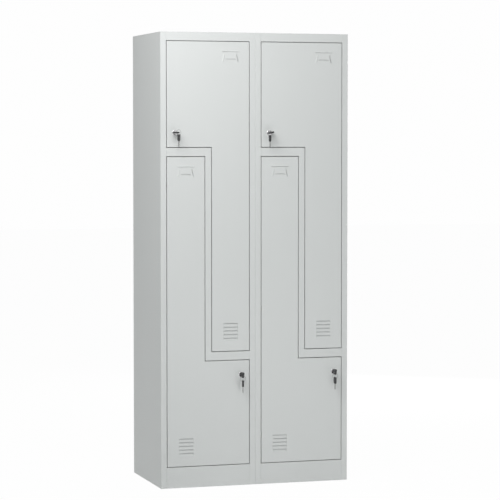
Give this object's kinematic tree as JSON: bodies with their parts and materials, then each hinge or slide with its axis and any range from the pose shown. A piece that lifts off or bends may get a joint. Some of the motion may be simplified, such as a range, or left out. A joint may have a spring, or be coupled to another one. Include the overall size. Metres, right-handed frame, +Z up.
{
  "type": "z-door office locker",
  "caption": "Light grey sheet-steel locker in two columns, each with interlocking L-shaped doors round a Z-shaped rail; louvres, card holders, cam locks with keys on rings.",
  "frame": {"origin": "on the floor, under the middle of the seam between the two columns, at half the carcass's depth", "axes": "+Z up, -Y out of the doors, +X to the right of someone facing the doors"},
  "size_m": [0.8, 0.5006, 1.85],
  "materials": {
    "body_paint": "semi-gloss light grey powder coat",
    "lock_chrome": "polished",
    "key_nickel": "nickel plated, rubbed bright",
    "key_plastic": "black moulded",
    "hinge_steel": "zinc plated",
    "fastener_zinc": "bright zinc",
    "rail_chrome": "polished tube",
    "socket_plastic": "grey moulded",
    "buffer_rubber": "black"
  },
  "bodies": {
    "carcass": {"side_panel_left": "body_paint", "side_panel_right": "body_paint", "centre_panel_left": "body_paint", "centre_panel_right": "body_paint", "top_panels": "body_paint", "base_panels": "body_paint", "back_panel": "body_paint", "z_rails": "body_paint", "z_partitions": "body_paint", "coat_rails": "rail_chrome", "rail_sockets": "socket_plastic", "column_rivets": "fastener_zinc", "hinge_arms": "hinge_steel", "hinge_pins": "hinge_steel", "door_buffers": "buffer_rubber"},
    "door_upper_left": {"door_upper_left": "body_paint", "door_stiffener_upper_left": "body_paint", "hinge_leaves_upper_left": "hinge_steel", "lock_housing_upper_left": "lock_chrome"},
    "lock_upper_left": {"lock_plug_upper_left": "lock_chrome", "lock_cam_upper_left": "fastener_zinc", "key_blade_upper_left": "key_nickel", "key_bow_upper_left": "key_plastic"},
    "ring_upper_left": {"key_ring_upper_left": "key_nickel"},
    "spare_key_upper_left": {"spare_blade_upper_left": "key_nickel", "spare_bow_upper_left": "key_plastic"},
    "door_lower_left": {"door_lower_left": "body_paint", "door_stiffener_lower_left": "body_paint", "hinge_leaves_lower_left": "hinge_steel", "lock_housing_lower_left": "lock_chrome"},
    "lock_lower_left": {"lock_plug_lower_left": "lock_chrome", "lock_cam_lower_left": "fastener_zinc", "key_blade_lower_left": "key_nickel", "key_bow_lower_left": "key_plastic"},
    "ring_lower_left": {"key_ring_lower_left": "key_nickel"},
    "spare_key_lower_left": {"spare_blade_lower_left": "key_nickel", "spare_bow_lower_left": "key_plastic"},
    "door_upper_right": {"door_upper_right": "body_paint", "door_stiffener_upper_right": "body_paint", "hinge_leaves_upper_right": "hinge_steel", "lock_housing_upper_right": "lock_chrome"},
    "lock_upper_right": {"lock_plug_upper_right": "lock_chrome", "lock_cam_upper_right": "fastener_zinc", "key_blade_upper_right": "key_nickel", "key_bow_upper_right": "key_plastic"},
    "ring_upper_right": {"key_ring_upper_right": "key_nickel"},
    "spare_key_upper_right": {"spare_blade_upper_right": "key_nickel", "spare_bow_upper_right": "key_plastic"},
    "door_lower_right": {"door_lower_right": "body_paint", "door_stiffener_lower_right": "body_paint", "hinge_leaves_lower_right": "hinge_steel", "lock_housing_lower_right": "lock_chrome"},
    "lock_lower_right": {"lock_plug_lower_right": "lock_chrome", "lock_cam_lower_right": "fastener_zinc", "key_blade_lower_right": "key_nickel", "key_bow_lower_right": "key_plastic"},
    "ring_lower_right": {"key_ring_lower_right": "key_nickel"},
    "spare_key_lower_right": {"spare_blade_lower_right": "key_nickel", "spare_bow_lower_right": "key_plastic"}
  },
  "joints": [
    {"name": "door_hinge_upper_left", "type": "hinge", "parent": "carcass", "child": "door_upper_left", "pos_m": [-0.0355, -0.219, 1.18312], "axis": [0, 0, 1], "range_deg": [0, 100]},
    {"name": "lock_turn_upper_left", "type": "hinge", "parent": "door_upper_left", "child": "lock_upper_left", "pos_m": [-0.33975, -0.225, 1.4445], "axis": [0, -1, 0], "range_deg": [0, 90]},
    {"name": "ring_swing_upper_left", "type": "hinge", "parent": "lock_upper_left", "child": "ring_upper_left", "pos_m": [-0.33975, -0.25446, 1.4445], "axis": [0, 0, 1], "range_deg": [-108, 52]},
    {"name": "spare_swing_upper_left", "type": "hinge", "parent": "ring_upper_left", "child": "spare_key_upper_left", "pos_m": [-0.33435, -0.26461, 1.433], "axis": [-0.4695, 0.8829, 0], "range_deg": [-25, 25]},
    {"name": "door_hinge_lower_left", "type": "hinge", "parent": "carcass", "child": "door_lower_left", "pos_m": [-0.3645, -0.219, 0.71688], "axis": [0, 0, -1], "range_deg": [0, 100]},
    {"name": "lock_turn_lower_left", "type": "hinge", "parent": "door_lower_left", "child": "lock_lower_left", "pos_m": [-0.06025, -0.225, 0.4555], "axis": [0, -1, 0], "range_deg": [0, 90]},
    {"name": "ring_swing_lower_left", "type": "hinge", "parent": "lock_lower_left", "child": "ring_lower_left", "pos_m": [-0.06055, -0.2536, 0.45266], "axis": [-0.9945, 0, 0.1045], "range_deg": [-5, 85]},
    {"name": "spare_swing_lower_left", "type": "hinge", "parent": "ring_lower_left", "child": "spare_key_lower_left", "pos_m": [-0.06175, -0.2536, 0.42972], "axis": [-1, 0, 0], "range_deg": [-10, 60]},
    {"name": "door_hinge_upper_right", "type": "hinge", "parent": "carcass", "child": "door_upper_right", "pos_m": [0.3645, -0.219, 1.18312], "axis": [0, 0, 1], "range_deg": [0, 100]},
    {"name": "lock_turn_upper_right", "type": "hinge", "parent": "door_upper_right", "child": "lock_upper_right", "pos_m": [0.06025, -0.225, 1.4445], "axis": [0, -1, 0], "range_deg": [0, 90]},
    {"name": "ring_swing_upper_right", "type": "hinge", "parent": "lock_upper_right", "child": "ring_upper_right", "pos_m": [0.06025, -0.25446, 1.4445], "axis": [-0.2588, 0, 0.9659], "range_deg": [-20, 140]},
    {"name": "spare_swing_upper_right", "type": "hinge", "parent": "ring_upper_right", "child": "spare_key_upper_right", "pos_m": [0.05135, -0.26151, 1.43052], "axis": [-0.8734, -0.4871, 0], "range_deg": [-25, 25]},
    {"name": "door_hinge_lower_right", "type": "hinge", "parent": "carcass", "child": "door_lower_right", "pos_m": [0.0355, -0.219, 0.71688], "axis": [0, 0, -1], "range_deg": [0, 100]},
    {"name": "lock_turn_lower_right", "type": "hinge", "parent": "door_lower_right", "child": "lock_lower_right", "pos_m": [0.33975, -0.225, 0.4555], "axis": [0, -1, 0], "range_deg": [0, 90]},
    {"name": "ring_swing_lower_right", "type": "hinge", "parent": "lock_lower_right", "child": "ring_lower_right", "pos_m": [0.33925, -0.2536, 0.45269], "axis": [-0.9848, 0, 0.1736], "range_deg": [-5, 85]},
    {"name": "spare_swing_lower_right", "type": "hinge", "parent": "ring_lower_right", "child": "spare_key_lower_right", "pos_m": [0.33726, -0.2536, 0.42986], "axis": [-1, 0, 0], "range_deg": [-10, 60]}
  ]
}
